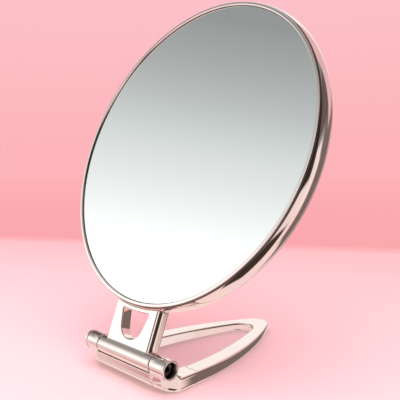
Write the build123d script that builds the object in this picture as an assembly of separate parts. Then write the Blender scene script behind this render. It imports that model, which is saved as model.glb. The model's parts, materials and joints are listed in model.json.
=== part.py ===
"""Folding hand mirror: a round two-sided head, hinged to a loop handle that is also its stand.

Head pieces are drawn standing upright about the hinge axis: X along the hinge, Y to the back
and Z up the head. The finished head is then leaned back and set on the hinge.
"""

from build123d import *
from math import radians, sin, sqrt
import os

os.makedirs("parts", exist_ok=True)

# The head
HEAD_RADIUS = 75.0
HEAD_DEPTH = 9.6
SIGHT_RADIUS = 72.0  # edge of the glass that shows
GLASS_RADIUS = 72.7
FRONT_GLASS = 1.8  # thickness of the plain glass
REAR_GLASS = 1.8  # thickness of the magnifying glass
REAR_CURVE = 3000.0  # radius of the magnifying glass's dish
BEZEL_FACE = 0.65  # thickness of a bezel's front flange
BEZEL_ROUND = 0.5  # rounding of the flange's two front edges
BEZEL_SKIRT = 0.3
GASKET = 0.3
GASKET_LIP = 0.15  # how far the seal shows inside the bezel
CORE_DEPTH = 2.2
FOAM_MARGIN = 0.4
REAR_FOAM_SHARE = 0.82  # inside of the rear foam ring, as a share of the glass's radius
HOOP_DEPTH = 8.1
HOOP_EDGE_RADIUS = 73.8  # the hoop's side bulges from here to the full radius
BEZEL_GROOVE = 0.1  # how far the bezel stops short of the hoop's edge
FIT = 0.05  # clearance between pieces that are pushed together
SEAM_TURN = 37.0  # keeps the seam of each turned surface clear of the screw holes

# The hinge
HEAD_REACH = 94.5  # hinge axis to the middle of the glass
HEAD_LEAN = 23.5  # degrees back from upright
HINGE_HEIGHT = 11.0
KNUCKLE_RADIUS = 4.1
NECK_KNUCKLE = 18.2  # half length of the neck's knuckle
SEAM_END = 18.75  # inner end of each handle knuckle
BARREL_END = 28.0
RING_RADIUS = 4.3
RING_LENGTH = 1.4
POCKET_RADIUS = 3.3  # sunk bore for the bolt's head and for its nut
POCKET_FLOOR = 22.5
RING_LIP = 0.4  # thickness of the ring's inward lip
RING_LIP_RADIUS = 3.4
SPIGOT_STEP = 0.4  # how far the knuckle steps down inside its ring
BOLT_RADIUS = 1.5
BOLT_CLEARANCE = 0.5  # round the bolt, inside the neck's knuckle
BOLT_HEAD_RADIUS = 2.75
BOLT_HEAD = 3.0
BOLT_TIP = 1.6  # how far the bolt stops short of the barrel's left end
SOCKET_HALF_WIDTH = 1.25
SOCKET_DEPTH = 1.7
WASHER_RADIUS = 3.1
WASHER_FIT = 0.1
WASHER = 0.5
SPRING_RISE = 0.2
SPRING_METAL = 0.4
NUT_HALF_WIDTH = 2.75
NUT = 2.2
THREAD_GAP = 0.02
BUSH_RADIUS = 2.6
BUSH_LENGTH = 6.0
BUSH_FLANGE = 0.5
BUSH_FLANGE_RADIUS = 3.7

# The neck
NECK_HALF_WIDTH = 15.6
NECK_THICKNESS = 5.5
NECK_FILLET = 2.5
NECK_SIDE_ROUND = 1.5
WINDOW_TOP = 9.8  # half width of the neck's window at the rim
WINDOW_BOTTOM = 5.0
WINDOW_FLOOR = 6.1  # hinge axis to the window's lowest point
WINDOW_LOW_ROUND = 4.2
WINDOW_HIGH_ROUND = 1.0
WINDOW_STRIP = 1.4  # metal left between the window and the rim
SCREW_ANGLE = 9.5  # degrees either side of the neck's middle
SCREW_RADIUS = 1.2
SCREW_DEPTH = 6.5  # how far each screw reaches into the neck
SCREW_HOLE_SPARE = 2.5  # extra length of its hole
SCREW_HEAD_RADIUS = 1.9
SCREW_HEAD = 1.4
SCREW_HEAD_ROUND = 0.5
DRIVE_LENGTH = 2.4
DRIVE_WIDTH = 0.6
DRIVE_DEPTH = 0.7
SCREW_ROOM_HALF_WIDTH = 19.0  # space in the head for the screw heads and their plate
SCREW_ROOM_HEIGHT = 6.0
SCREW_PASS = 5.0  # length of the screw holes cut through the rim's thin pieces
SEAT_GAP = 0.1  # lets a flat screw head clear the curved plate
SADDLE_HALF_ANGLE = 14.0
SADDLE_THICKNESS = 1.2
SADDLE_HALF_DEPTH = 1.9

# The loop handle, measured back from the hinge axis
LOOP_FRONT = -3.6
LOOP_SHOULDER = 11.0  # where the loop is widest
LOOP_HALF_WIDTH = 27.6
LOOP_SIDE_RADIUS = 150.0
LOOP_TIP_RADIUS = 8.0
LOOP_HOLE_HALF_WIDTH = 18.9
LOOP_HOLE_FRONT = 8.4
LOOP_HOLE_SIDE_RADIUS = 175.0
LOOP_HOLE_TIP_RADIUS = 6.5
LOOP_HOLE_CORNER_RADIUS = 4.0
LOOP_CORNER_RADIUS = 9.0
LOOP_THICK = 5.8  # at the hinge
LOOP_THIN = 3.9  # at the tip
LOOP_THINS_FROM = 15.0
LOOP_EDGE = 1.1  # rounding of the loop's edges
TOE_START = 6.5  # the underside curves up from here to the front
TOE_LIFT = 4.0
CROSSBAR_TOP = 8.2
SADDLE_ROUND = 3.8  # between a knuckle's pedestal and the arm behind it
CRADLE_GAP = 0.35  # between the crossbar's cradle and the neck's knuckle


def side_tip(half_width, side_radius, tip_radius):
    """Distance from the widest line to the tip that two side arcs and a tip arc make."""
    near = side_radius - half_width
    return sqrt((side_radius - tip_radius) ** 2 - near**2) + tip_radius


SPRING_HEIGHT = SPRING_RISE + SPRING_METAL
WASHER_START = POCKET_FLOOR + 2 * SPRING_HEIGHT
LOOP_TIP = LOOP_SHOULDER + side_tip(LOOP_HALF_WIDTH, LOOP_SIDE_RADIUS, LOOP_TIP_RADIUS)
HINGE_Y = -(LOOP_TIP - RING_RADIUS) / 2  # puts the origin under the footprint's middle

HANDLE_PLACE = Pos(0, HINGE_Y, 0)
HEAD_PLACE = Pos(0, HINGE_Y, HINGE_HEIGHT) * Rot(-HEAD_LEAN, 0, 0)


def band(near, far, low, high):
    """Rectangle from near to far across and from low to high."""
    return Pos((near + far) / 2, (low + high) / 2) * Rectangle(far - near, high - low)


def head_turned(section):
    """Turn a section, drawn as radius and depth, about the middle of the head."""
    return Pos(0, 0, HEAD_REACH) * Rot(0, SEAM_TURN, 0) * revolve(section, Axis.Y)


def barrel_turned(section):
    """Turn a section, drawn as length and radius, about the hinge axis."""
    return revolve(section, Axis.X)


def hinge_set(shape):
    """Put a piece turned about the hinge axis at the hinge's height in the handle."""
    return Pos(0, 0, HINGE_HEIGHT) * shape


def disc(radius, low, high):
    """Solid disc about the middle of the head, between two depths."""
    return head_turned(band(0, radius, low, high))


def from_rim(shape, angle):
    """Carry a piece drawn along the head's radius to the rim, angle degrees round."""
    return Pos(0, 0, HEAD_REACH) * Rot(0, -angle, 0) * shape


# Levels through the head, counted from its middle to the front
FACE = HEAD_DEPTH / 2
FLANGE_BACK = FACE - BEZEL_FACE
GLASS_FACE = FLANGE_BACK - GASKET
GLASS_BACK = GLASS_FACE - FRONT_GLASS
REAR_CENTRE = GLASS_FACE - GLASS_RADIUS**2 / (2 * REAR_CURVE)
HOOP_INSIDE = GLASS_RADIUS + FIT + BEZEL_SKIRT + FIT


def hoop_outline(inside):
    """Section of the hoop from the given radius out to its bulging side."""
    half = HOOP_DEPTH / 2
    rise = HEAD_RADIUS - HOOP_EDGE_RADIUS
    side_radius = (half**2 + rise**2) / (2 * rise)
    bulge = Pos(HEAD_RADIUS - side_radius, 0) * Circle(side_radius)
    return band(inside, HEAD_RADIUS, -half, half) & bulge


def screw_shank(radius, start, length):
    """Cylinder pointing from the rim down into the neck."""
    return Pos(0, 0, -start - length / 2) * Cylinder(radius, length)


def rim_hoop():
    """Thin hoop with a bulging side, drilled for the neck screws."""
    hoop = head_turned(hoop_outline(HOOP_INSIDE))
    for angle in (-SCREW_ANGLE, SCREW_ANGLE):
        hoop -= from_rim(screw_shank(SCREW_RADIUS + FIT, GLASS_RADIUS - 2, SCREW_PASS), angle)
    return hoop


def bezel():
    """Front bezel: a rounded flange over the glass and a skirt pushed into the hoop."""
    flange = band(SIGHT_RADIUS, HOOP_EDGE_RADIUS - BEZEL_GROOVE, -FACE, -FLANGE_BACK)
    flange = fillet(flange.vertices().group_by(Axis.Y)[0], BEZEL_ROUND)
    skirt_inside = GLASS_RADIUS + FIT
    skirt = band(skirt_inside, skirt_inside + BEZEL_SKIRT, -FLANGE_BACK, -GLASS_BACK)
    return head_turned(flange + skirt)


def gasket():
    """Thin seal between the front bezel's flange and the glass."""
    return head_turned(band(SIGHT_RADIUS - GASKET_LIP, GLASS_RADIUS, -FLANGE_BACK, -GLASS_FACE))


def to_rear(shape):
    """Turn a front piece round to the back of the head."""
    return mirror(shape, Plane.XZ)


def front_glass():
    """Plain round mirror glass."""
    return disc(GLASS_RADIUS, -GLASS_FACE, -GLASS_BACK)


def dished(radius):
    """Rise of the magnifying glass's dish at a radius."""
    return radius**2 / (2 * REAR_CURVE)


def rear_glass():
    """Dished glass, thinner than the plain one, that magnifies from behind."""
    blank = disc(GLASS_RADIUS, REAR_CENTRE - REAR_GLASS, GLASS_FACE)
    middle = Pos(0, REAR_CENTRE + REAR_CURVE, HEAD_REACH)
    return blank & middle * Sphere(REAR_CURVE + REAR_GLASS) - middle * Sphere(REAR_CURVE)


def screw_room():
    """Space at the bottom of the head for the screw heads and their plate."""
    room = Box(2 * SCREW_ROOM_HALF_WIDTH, HEAD_DEPTH, 2 * SCREW_ROOM_HEIGHT)
    return Pos(0, 0, HEAD_REACH - GLASS_RADIUS) * room


def core_plate():
    """Moulded plate between the two glasses."""
    return disc(GLASS_RADIUS, -CORE_DEPTH / 2, CORE_DEPTH / 2) - screw_room()


def front_foam():
    """Foam pad that holds the plain glass off the core."""
    return disc(GLASS_RADIUS - FOAM_MARGIN, -GLASS_BACK, -CORE_DEPTH / 2) - screw_room()


def rear_foam():
    """Foam ring that holds the dished glass off the core near its edge."""
    inside = GLASS_RADIUS * REAR_FOAM_SHARE
    top = REAR_CENTRE - REAR_GLASS + dished(inside) - FIT
    ring = head_turned(band(inside, GLASS_RADIUS - FOAM_MARGIN, CORE_DEPTH / 2, top))
    return ring - screw_room()


def saddle_plate():
    """Curved strip inside the hoop that spreads the neck screws' pull."""
    outside = HOOP_INSIDE - FIT
    inside = outside - SADDLE_THICKNESS
    strip = head_turned(band(inside, outside, -SADDLE_HALF_DEPTH, SADDLE_HALF_DEPTH))
    half_width = outside * sin(radians(SADDLE_HALF_ANGLE))
    strip &= Pos(0, 0, HEAD_REACH - outside) * Box(2 * half_width, HEAD_DEPTH, HEAD_RADIUS / 4)
    for angle in (-SCREW_ANGLE, SCREW_ANGLE):
        strip -= from_rim(screw_shank(SCREW_RADIUS + FIT, inside - 2, SCREW_PASS), angle)
    return strip


def neck_screw():
    """Pan head screw, drawn at the bottom of the rim."""
    seat = HOOP_INSIDE - FIT - SADDLE_THICKNESS - SEAT_GAP
    head = Pos(0, 0, -seat + SCREW_HEAD / 2) * Cylinder(SCREW_HEAD_RADIUS, SCREW_HEAD)
    head = fillet(head.edges().group_by(Axis.Z)[-1], SCREW_HEAD_ROUND)
    shank = screw_shank(SCREW_RADIUS, seat, HEAD_RADIUS - seat + SCREW_DEPTH)
    cross = Box(DRIVE_LENGTH, DRIVE_WIDTH, 2 * DRIVE_DEPTH)
    cross += Box(DRIVE_WIDTH, DRIVE_LENGTH, 2 * DRIVE_DEPTH)
    return head + shank - Pos(0, 0, -seat + SCREW_HEAD) * cross


def neck_screws():
    """The two screws that pull the neck up to the rim."""
    return [from_rim(neck_screw(), angle) for angle in (-SCREW_ANGLE, SCREW_ANGLE)]


def neck_window():
    """Shield-shaped opening that lightens the neck."""
    top = HEAD_REACH - HEAD_RADIUS + 2
    high = [(-WINDOW_TOP, top), (WINDOW_TOP, top)]
    low = [(WINDOW_BOTTOM, WINDOW_FLOOR), (-WINDOW_BOTTOM, WINDOW_FLOOR)]
    shield = make_face(Polyline(*high, *low, close=True))
    shield -= Pos(0, HEAD_REACH) * Circle(HEAD_RADIUS + WINDOW_STRIP)
    shield = fillet(shield.vertices().group_by(Axis.Y)[0], WINDOW_LOW_ROUND)
    shield = fillet(shield.vertices().sort_by(Axis.Y)[-2:], WINDOW_HIGH_ROUND)
    return extrude(Plane.XZ * shield, NECK_THICKNESS, both=True)


def neck():
    """Flat bracket that rises from its knuckle to the rim."""
    plate = Pos(0, HEAD_REACH / 8) * Rectangle(NECK_THICKNESS, HEAD_REACH / 4)
    side = Circle(KNUCKLE_RADIUS) + plate
    joins = side.vertices().filter_by(lambda v: 0 < v.Y < KNUCKLE_RADIUS)
    side = fillet(joins, NECK_FILLET)
    bracket = extrude(Plane.YZ * side, NECK_HALF_WIDTH, both=True)
    bracket = fillet(bracket.faces().filter_by(Axis.X).edges().filter_by(Axis.Z), NECK_SIDE_ROUND)
    bracket -= neck_window()
    screw_hole = screw_shank(SCREW_RADIUS + THREAD_GAP, HEAD_RADIUS - 2, SCREW_DEPTH + SCREW_HOLE_SPARE)
    for angle in (-SCREW_ANGLE, SCREW_ANGLE):
        bracket -= from_rim(screw_hole, angle)
    bracket -= head_turned(hoop_outline(0))
    bracket += barrel_turned(band(-NECK_KNUCKLE, NECK_KNUCKLE, 0, KNUCKLE_RADIUS))
    bracket -= barrel_turned(band(-NECK_KNUCKLE, NECK_KNUCKLE, 0, BOLT_RADIUS + BOLT_CLEARANCE))
    seat = band(NECK_KNUCKLE - BUSH_LENGTH - FIT, NECK_KNUCKLE, 0, BUSH_RADIUS + FIT / 2)
    for turn in (0, 180):
        bracket -= Rot(0, 0, turn) * barrel_turned(seat)
    return bracket


def bush():
    """Flanged nylon bush for the right end of the neck's knuckle."""
    bore = BOLT_RADIUS + FIT
    sleeve = band(NECK_KNUCKLE - BUSH_LENGTH, NECK_KNUCKLE, bore, BUSH_RADIUS)
    flange = band(NECK_KNUCKLE, NECK_KNUCKLE + BUSH_FLANGE, bore, BUSH_FLANGE_RADIUS)
    return barrel_turned(sleeve + flange)


def to_left(shape):
    """Mirror a right-hand piece to the left end of the hinge."""
    return mirror(shape, Plane.YZ)


def both_ends(shape):
    """A right-hand piece and its mirror image."""
    return [shape, to_left(shape)]


def teardrop(half_width, side_radius, shoulder, front, tip_radius, corner_radius):
    """Plan outline between two long side arcs, with a straight front and rounded corners."""
    offset = side_radius - half_width
    outline = Pos(-offset, shoulder) * Circle(side_radius)
    outline &= Pos(offset, shoulder) * Circle(side_radius)
    outline &= band(-half_width, half_width, front, 2 * side_radius)
    outline = fillet(outline.vertices().sort_by(Axis.Y)[-1], tip_radius)
    return fillet(outline.vertices().group_by(Axis.Y)[0], corner_radius)


def loop_outline():
    """Outside of the loop in plan."""
    return teardrop(LOOP_HALF_WIDTH, LOOP_SIDE_RADIUS, LOOP_SHOULDER, LOOP_FRONT,
                    LOOP_TIP_RADIUS, LOOP_CORNER_RADIUS)


def loop_hole():
    """Finger opening inside the loop, in plan."""
    return teardrop(LOOP_HOLE_HALF_WIDTH, LOOP_HOLE_SIDE_RADIUS, LOOP_HOLE_FRONT, LOOP_HOLE_FRONT,
                    LOOP_HOLE_TIP_RADIUS, LOOP_HOLE_CORNER_RADIUS)


def across(points, half_width):
    """Side profile, given as distance back and height, drawn out across the handle."""
    return extrude(Plane.YZ * make_face(Polyline(*points, close=True)), half_width, both=True)


def loop_plate():
    """Flat loop that thins towards its tip."""
    profile = [(LOOP_FRONT - 1, 0), (LOOP_FRONT - 1, LOOP_THICK), (LOOP_THINS_FROM, LOOP_THICK),
               (LOOP_TIP + 1, LOOP_THIN), (LOOP_TIP + 1, 0)]
    return extrude(loop_outline() - loop_hole(), LOOP_THICK) & across(profile, HEAD_RADIUS)


def knuckle_profile():
    """Side profile of a handle knuckle, its pedestal and the saddle down to the arm."""
    eye = Pos(0, HINGE_HEIGHT) * Circle(KNUCKLE_RADIUS)
    pedestal = band(LOOP_FRONT, KNUCKLE_RADIUS, 0, HINGE_HEIGHT)
    arm = band(LOOP_FRONT, LOOP_THINS_FROM, 0, LOOP_THICK)
    profile = eye + pedestal + arm
    corner = Vector(KNUCKLE_RADIUS, LOOP_THICK, 0)
    saddle = profile.vertices().sort_by(lambda vertex: (Vector(*vertex) - corner).length)[0]
    return fillet(saddle, SADDLE_ROUND)


def knuckle():
    """Right handle knuckle, standing on the loop's corner."""
    length = BARREL_END - RING_LENGTH - FIT - SEAM_END
    body = Pos(SEAM_END, 0, 0) * extrude(Plane.YZ * knuckle_profile(), length)
    room = extrude(loop_outline(), 2 * HINGE_HEIGHT)
    room += hinge_set(barrel_turned(band(0, BARREL_END, 0, KNUCKLE_RADIUS)))
    return body & room


def knuckle_spigot():
    """Stepped end that the end ring is pushed over."""
    start = BARREL_END - RING_LENGTH
    end = BARREL_END - RING_LIP - FIT
    return hinge_set(barrel_turned(band(start - 1, end, 0, KNUCKLE_RADIUS - SPIGOT_STEP)))


def knuckle_bores():
    """Bolt hole and sunk pocket along the hinge axis."""
    hole = band(SEAM_END - 1, POCKET_FLOOR, 0, BOLT_RADIUS + FIT)
    pocket = band(POCKET_FLOOR, BARREL_END + 1, 0, POCKET_RADIUS)
    return hinge_set(barrel_turned(hole) + barrel_turned(pocket))


def crossbar():
    """Bar under the hinge, hollowed to cradle the neck's knuckle."""
    bar = band(LOOP_FRONT, KNUCKLE_RADIUS, LOOP_THICK / 2, CROSSBAR_TOP)
    bar -= Pos(0, HINGE_HEIGHT) * Circle(KNUCKLE_RADIUS + CRADLE_GAP)
    return extrude(Plane.YZ * bar, SEAM_END + 1, both=True)


def toe():
    """Cutter that curves the loop's underside up towards its front edge."""
    run = TOE_START - LOOP_FRONT
    radius = (run**2 + TOE_LIFT**2) / (2 * TOE_LIFT)
    roller = Pos(0, TOE_START, radius) * Rot(0, 90, 0) * Cylinder(radius, 4 * LOOP_HALF_WIDTH)
    block = band(LOOP_FRONT - 1, TOE_START, -1, radius)
    return extrude(Plane.YZ * block, 2 * LOOP_HALF_WIDTH, both=True) - roller


def handle_loop():
    """Loop, crossbar and outer knuckles in one casting."""
    loop = loop_plate()
    loop = fillet(loop.edges().filter_by(lambda edge: edge.center().Z > LOOP_THIN - 1), LOOP_EDGE)
    loop = fillet(loop.edges().filter_by(lambda edge: edge.bounding_box().max.Z < FIT), LOOP_EDGE)
    loop += [crossbar(), *both_ends(knuckle() + knuckle_spigot())]
    return loop - both_ends(knuckle_bores()) - toe()


def end_ring():
    """Ring that finishes the right end of the barrel."""
    start = BARREL_END - RING_LENGTH
    skirt = band(start, BARREL_END, KNUCKLE_RADIUS - SPIGOT_STEP + FIT / 2, RING_RADIUS)
    lip = band(BARREL_END - RING_LIP, BARREL_END, RING_LIP_RADIUS, RING_RADIUS)
    return hinge_set(barrel_turned(skirt + lip))


def pivot_bolt():
    """Socket head bolt, its head sunk in the right knuckle."""
    head_end = POCKET_FLOOR + BOLT_HEAD
    head = band(POCKET_FLOOR, head_end, 0, BOLT_HEAD_RADIUS)
    shank = band(-BARREL_END + BOLT_TIP, POCKET_FLOOR, 0, BOLT_RADIUS)
    socket = extrude(RegularPolygon(SOCKET_HALF_WIDTH, 6, major_radius=False), SOCKET_DEPTH)
    socket = Pos(head_end - SOCKET_DEPTH, 0, 0) * Rot(0, 90, 0) * socket
    return hinge_set(barrel_turned(head + shank) - socket)


def disc_spring(start, faces_out):
    """Cone washer, its start measured along the hinge axis."""
    inner = BOLT_RADIUS + WASHER_FIT
    rim, eye = (0, SPRING_RISE) if faces_out else (SPRING_RISE, 0)
    near = [(start + eye, inner), (start + rim, WASHER_RADIUS)]
    far = [(start + rim + SPRING_METAL, WASHER_RADIUS), (start + eye + SPRING_METAL, inner)]
    return hinge_set(barrel_turned(make_face(Polyline(*near, *far, close=True))))


def disc_springs():
    """Two cone washers back to back, under the nut in the left knuckle."""
    pair = (disc_spring(POCKET_FLOOR, False), disc_spring(POCKET_FLOOR + SPRING_HEIGHT, True))
    return [to_left(spring) for spring in pair]


def flat_washer():
    """Washer between the cone washers and the nut."""
    ring = band(WASHER_START, WASHER_START + WASHER, BOLT_RADIUS + WASHER_FIT, WASHER_RADIUS)
    return to_left(hinge_set(barrel_turned(ring)))


def pivot_nut():
    """Hexagon nut on the bolt's left end."""
    hexagon = RegularPolygon(NUT_HALF_WIDTH, 6, major_radius=False)
    nut = extrude(hexagon - Circle(BOLT_RADIUS + THREAD_GAP), NUT)
    return to_left(hinge_set(Pos(WASHER_START + WASHER, 0, 0) * Rot(0, 90, 0) * nut))


HEAD = {
    "rim_hoop": rim_hoop(),
    "front_bezel": bezel(),
    "rear_bezel": to_rear(bezel()),
    "front_gasket": gasket(),
    "rear_gasket": to_rear(gasket()),
    "front_glass": front_glass(),
    "rear_glass": rear_glass(),
    "front_foam": front_foam(),
    "rear_foam": rear_foam(),
    "core_plate": core_plate(),
    "saddle_plate": saddle_plate(),
    "neck_screws": Compound(neck_screws()),
    "neck": neck(),
    "right_bush": bush(),
    "left_bush": to_left(bush()),
}

HANDLE = {
    "handle_loop": handle_loop(),
    "right_end_ring": end_ring(),
    "left_end_ring": to_left(end_ring()),
    "pivot_bolt": pivot_bolt(),
    "disc_springs": Compound(disc_springs()),
    "flat_washer": flat_washer(),
    "pivot_nut": pivot_nut(),
}

for pieces, place in ((HEAD, HEAD_PLACE), (HANDLE, HANDLE_PLACE)):
    for name, piece in pieces.items():
        export_step(piece.moved(place), f"parts/{name}.step")
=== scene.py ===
"""Looks of the folding hand mirror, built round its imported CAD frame.

Shapes are drawn in millimetres in two local spaces, both with X to the right along the hinge:
the head's (Y back through the glass, Z up the head, from the hinge axis) and the handle's
(Y back from the hinge axis, Z up from the table). Turned pieces use the head's axis or the
barrel's as their Z. A field is a formula that is below zero inside a shape.
"""

import json
from itertools import product
from math import asin, cos, pi, radians, sin, sqrt, tau

import bmesh
import bpy
import numpy as np
from mathutils import Matrix, Vector


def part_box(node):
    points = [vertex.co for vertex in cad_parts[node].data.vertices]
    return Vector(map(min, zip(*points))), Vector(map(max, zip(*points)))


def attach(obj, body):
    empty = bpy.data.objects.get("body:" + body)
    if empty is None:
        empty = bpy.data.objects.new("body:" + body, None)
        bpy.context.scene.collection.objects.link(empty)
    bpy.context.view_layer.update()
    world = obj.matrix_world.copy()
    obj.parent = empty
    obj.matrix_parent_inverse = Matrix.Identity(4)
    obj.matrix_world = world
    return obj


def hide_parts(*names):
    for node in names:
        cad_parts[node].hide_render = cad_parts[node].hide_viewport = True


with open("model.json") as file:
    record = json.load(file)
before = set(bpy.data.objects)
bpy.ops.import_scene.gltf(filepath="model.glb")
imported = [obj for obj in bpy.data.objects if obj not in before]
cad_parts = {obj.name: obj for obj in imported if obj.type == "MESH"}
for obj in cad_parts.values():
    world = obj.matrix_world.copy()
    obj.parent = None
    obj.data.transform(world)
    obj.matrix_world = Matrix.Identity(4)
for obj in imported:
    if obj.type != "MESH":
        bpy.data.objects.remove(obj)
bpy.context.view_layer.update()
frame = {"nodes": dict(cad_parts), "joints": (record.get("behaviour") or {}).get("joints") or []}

# ---------------------------------------------------------------- the two local spaces
MM = 0.001
QUARTER_TURN = radians(90)
HINGE = Vector(frame["joints"][0]["pos_m"])
HINGE_HEIGHT = HINGE.z / MM


def middle(node):
    """Middle of a CAD node's box."""
    low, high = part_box(node)
    return (low + high) / 2


RIM_MIDDLE = middle("rim_hoop") - HINGE
HEAD_REACH = Vector((RIM_MIDDLE.y, RIM_MIDDLE.z)).length / MM
LEAN = asin(RIM_MIDDLE.y / MM / HEAD_REACH)
HEAD_SPACE = Matrix.Translation(HINGE) @ Matrix.Rotation(-LEAN, 4, "X") @ Matrix.Scale(MM, 4)
HANDLE_SPACE = Matrix.Translation((0, HINGE.y, 0)) @ Matrix.Scale(MM, 4)
HEAD_AXIS = HEAD_SPACE @ Matrix.Translation((0, 0, HEAD_REACH)) @ Matrix.Rotation(QUARTER_TURN, 4, "X")
BARREL_MIDDLE = HANDLE_SPACE @ Matrix.Translation((0, 0, HINGE_HEIGHT))
BARREL_AXIS = BARREL_MIDDLE @ Matrix.Rotation(QUARTER_TURN, 4, "Y")


def span(node, space):
    """Lowest and highest corner of a CAD node in a local space, in millimetres."""
    points = np.array([v.co for v in frame["nodes"][node].data.vertices])
    back = np.array(space.inverted())
    local = points @ back[:3, :3].T + back[:3, 3]
    return Vector(local.min(0)), Vector(local.max(0))


# ---------------------------------------------------------------- sizes, in millimetres
NOTHING = 9.0  # a field's value where it holds nothing
FIT_GAP = 0.05

# The head, from its axis and its middle plane
RIM_RADIUS = span("rim_hoop", HEAD_AXIS)[1].x
RIM_HALF_DEPTH = span("rim_hoop", HEAD_AXIS)[1].z
FACE = span("front_bezel", HEAD_AXIS)[1].z
BEZEL_RADIUS = span("front_bezel", HEAD_AXIS)[1].x
BEZEL_BACK = span("front_bezel", HEAD_AXIS)[0].z
BEZEL_ROUND = 0.5
SKIRT_WALL = 0.3
GLASS_RADIUS = span("front_glass", HEAD_AXIS)[1].x
GLASS_BACK, GLASS_FACE = (corner.z for corner in span("front_glass", HEAD_AXIS))
FLAT_GLASS_GROUND = 0.25
DISHED_GLASS_THICKNESS = 1.8
DISHED_GLASS_GROUND = 0.3
REAR_CURVE = 3000.0
FLANGE_BACK = span("front_gasket", HEAD_AXIS)[1].z
SIGHT_RADIUS = 72.0
SEAL_SHOWS = 0.12
HOOP_EDGE_RADIUS = 73.8
HOOP_INSIDE = 73.1
HOOP_SOFTENED = 0.12
FOAM_EDGE_GAP = 0.4
FOAM_ROUND = 0.45
REAR_FOAM_INSIDE = GLASS_RADIUS * 0.82
SCREW_ROOM = (19.0, 6.0)  # half width and half height of the room round the neck screws

# The neck and its knuckle
KNUCKLE_RADIUS = 4.1
KNUCKLE_EDGE = 0.25
NECK_KNUCKLE = span("neck", HEAD_SPACE)[1].x
NECK_TOP_GAP = 0.06
NECK_TOP_EDGE = 0.35
NECK_HALF_WIDTH = 15.6
NECK_HALF_THICKNESS = 2.75
NECK_FRONT_ROUND = 2.3
NECK_BACK_ROUND = 0.9
NECK_FILLET = 0.45
WINDOW_TOP = 9.8  # half widths, at the top and at the floor
WINDOW_BOTTOM = 5.0
WINDOW_RISE = 2.0  # from the rim's lowest point up to where the sides reach WINDOW_TOP
WINDOW_FLOOR = 6.1
WINDOW_STRIP = 1.4
WINDOW_ROUND = 4.2
WINDOW_TOP_ROUND = 1.0
WINDOW_EDGE = 0.55

# The handle's knuckles and end rings, from the middle of the barrel
SEAM_END = 18.75
RING_START, BARREL_END = (corner.z for corner in span("right_end_ring", BARREL_AXIS))
RING_RADIUS = span("right_end_ring", BARREL_AXIS)[1].x
POCKET_RADIUS = 3.3
POCKET_FLOOR = 22.5
RING_LIP = 0.4
RING_LIP_RADIUS = 3.4
SPIGOT_STEP = 0.4
EYE_EDGE = 0.2

# The loop
LOOP_TIP = span("handle_loop", HANDLE_SPACE)[1].y
LOOP_HALF_WIDTH = 27.6
LOOP_FRONT = -3.6
LOOP_SHOULDER = 11.0
LOOP_SIDE_RADIUS = 150.0
LOOP_TIP_RADIUS = 8.0
LOOP_CORNER = 9.0
HOLE_HALF_WIDTH = 18.9
HOLE_FRONT = 8.4
HOLE_SIDE_RADIUS = 175.0
HOLE_TIP_RADIUS = 6.5
HOLE_CORNER = 4.0
LOOP_THICK = 5.8
LOOP_THIN = 3.9
LOOP_THINS_FROM = LOOP_SHOULDER + 4
LOOP_THINS_TO = LOOP_TIP + 1
LOOP_EDGE = 1.1
LOOP_FOOT_EDGE = 1.9  # rounding down to the table, on the outside
TOE_START = 6.5
TOE_LIFT = 4.0
TOE_EDGE = 0.6
CROSSBAR_TOP = 8.2
CASTING_FILLET = 0.5
CRADLE_GAP = 0.15
CRADLE_EDGE = 0.2
SADDLE_ROUND = 3.8
STAND_FILLET = 0.25
EYE_FILLET = 0.3

# The hinge's small parts
BOLT_RADIUS = 1.5
BOLT_PASS = BOLT_RADIUS + 0.5  # clearance hole through the neck's knuckle
BOLT_HEAD_RADIUS = 2.75
SOCKET_HALF_WIDTH = 1.25
SOCKET_DEPTH = 1.7
KNURLS = 36
KNURL_DEPTH = 0.12
KNURL_HALF_LENGTH = 1.1
KNURL_FADE = 0.25  # length over which the knurl dies out
BOLT_HEAD_EDGE = 0.25
SHANK_EDGE = 0.3
SHANK_OVERLAP = 0.5  # into the bolt's head
THREAD_LENGTH = 7.0
THREAD_PITCH = 0.5
THREAD_DEPTH = 0.16
THREAD_FADE = 0.5
THREAD_GAP = 0.02
NUT_HALF_WIDTH = 2.75
NUT_EDGE = 0.12
WASHER_BORE = 1.6
WASHER_RADIUS = 3.1
SPRING_RISE = 0.2
SPRING_METAL = 0.4
SPRING_HEIGHT = SPRING_RISE + SPRING_METAL
BUSH_LENGTH = 6.0
BUSH_RADIUS = 2.6
BUSH_FLANGE_RADIUS = 3.7
BUSH_FLANGE = 0.5
BUSH_SEAT_START = NECK_KNUCKLE - BUSH_LENGTH - FIT_GAP


# ---------------------------------------------------------------- making meshes
def shown(name, mesh, body, nodes, finish):
    """Link a finished mesh in place of its CAD nodes."""
    mesh.materials.append(finish)
    piece = bpy.data.objects.new(name, mesh)
    bpy.context.scene.collection.objects.link(piece)
    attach(piece, body)
    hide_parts(*nodes)
    return piece


def rounded(corners, steps=5):
    """Closed section from (across, along, radius) corners, each turned into an arc."""
    points = []
    count = len(corners)
    for index, (u, v, radius) in enumerate(corners):
        corner = Vector((u, v))
        before = Vector(corners[index - 1][:2]) - corner
        after = Vector(corners[(index + 1) % count][:2]) - corner
        turn = before.angle(after) / 2
        reach = radius / np.tan(turn)
        start, end = corner + before.normalized() * reach, corner + after.normalized() * reach
        centre = corner + (before.normalized() + after.normalized()).normalized() * radius / sin(turn)
        first, last = start - centre, end - centre
        sweep = first.angle(last)
        for step in range(steps + 1):
            share = step / steps
            spoke = first * sin((1 - share) * sweep) + last * sin(share * sweep)
            points.append(centre + spoke / sin(sweep))
    return [tuple(p) for p in points]


def arc(centre, radius, start, end, steps):
    """Points of an arc, angles in degrees."""
    angles = np.radians(np.linspace(start, end, steps + 1))
    return [(centre[0] + radius * cos(a), centre[1] + radius * sin(a)) for a in angles]


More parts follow.
